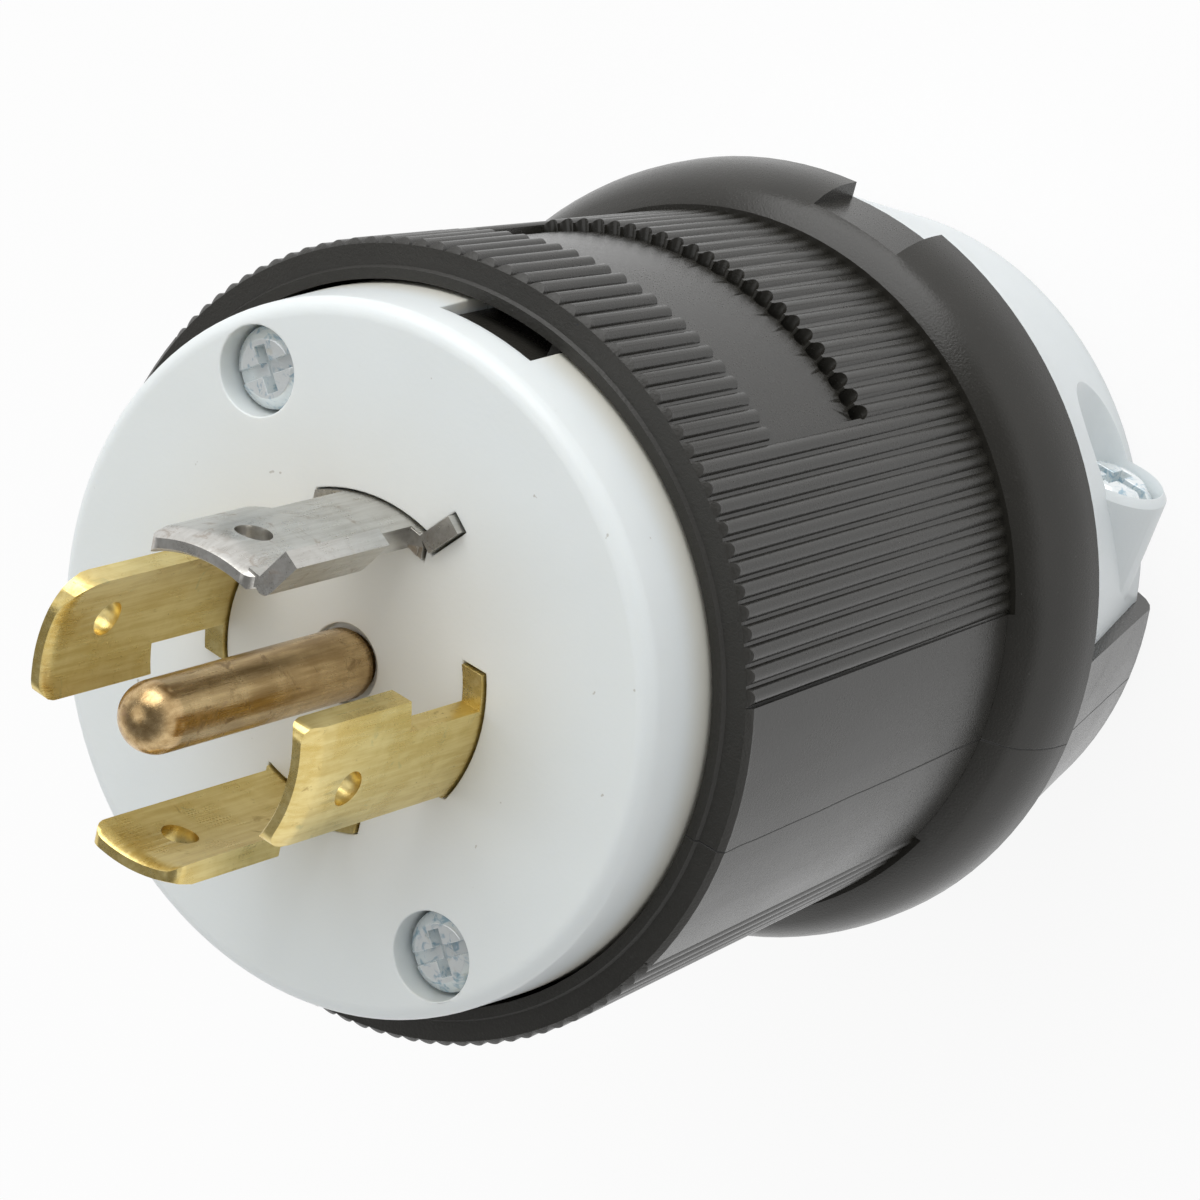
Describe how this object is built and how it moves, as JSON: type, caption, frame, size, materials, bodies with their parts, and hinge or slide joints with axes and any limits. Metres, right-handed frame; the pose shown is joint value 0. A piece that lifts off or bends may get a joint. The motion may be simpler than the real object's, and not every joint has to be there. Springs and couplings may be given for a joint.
{
  "type": "locking power plug",
  "caption": "Round twist-locking power plug: curved blades round a ground pin on a pale face, dark ribbed housing with a rear collar, screwed cord clamp.",
  "frame": {"origin": "centre of the bounding box at the cord end, which is also on the plug's axis", "axes": "+Z along the axis from the cord end to the blade tips; +Y towards the cord clamp and the housing's label panel"},
  "size_m": [0.0572, 0.057, 0.0894],
  "materials": {
    "white_nylon": "satin, slightly translucent",
    "clamp_nylon": "satin, slightly translucent",
    "black_nylon": "fine matt grain",
    "blade_brass": "mill finish, lightly stained",
    "bronze_brass": "darker, drawn along its length",
    "nickel_brass": "plated, stained",
    "terminal_brass": "stamped",
    "green_screw": "green",
    "zinc_steel": "bright zinc, bluish"
  },
  "bodies": {
    "root": {"face": "white_nylon", "terminal_block": "white_nylon", "blade_x": "blade_brass", "blade_y": "blade_brass", "blade_z": "blade_brass", "blade_neutral": "nickel_brass", "ground_pin": "bronze_brass", "ground_strap": "terminal_brass", "plate_x": "terminal_brass", "plate_y": "terminal_brass", "plate_z": "terminal_brass", "plate_neutral": "nickel_brass", "plate_ground": "terminal_brass", "wire_screw_x": "terminal_brass", "wire_screw_y": "terminal_brass", "wire_screw_z": "terminal_brass", "wire_screw_neutral": "zinc_steel", "wire_screw_ground": "green_screw", "housing": "black_nylon", "cord_clamp": "clamp_nylon", "face_screw_upper": "zinc_steel", "face_screw_lower": "zinc_steel", "insert_upper": "terminal_brass", "insert_lower": "terminal_brass", "clamp_screw_left": "zinc_steel", "clamp_screw_right": "zinc_steel", "clamp_nut_left": "zinc_steel", "clamp_nut_right": "zinc_steel"}
  },
  "joints": []
}
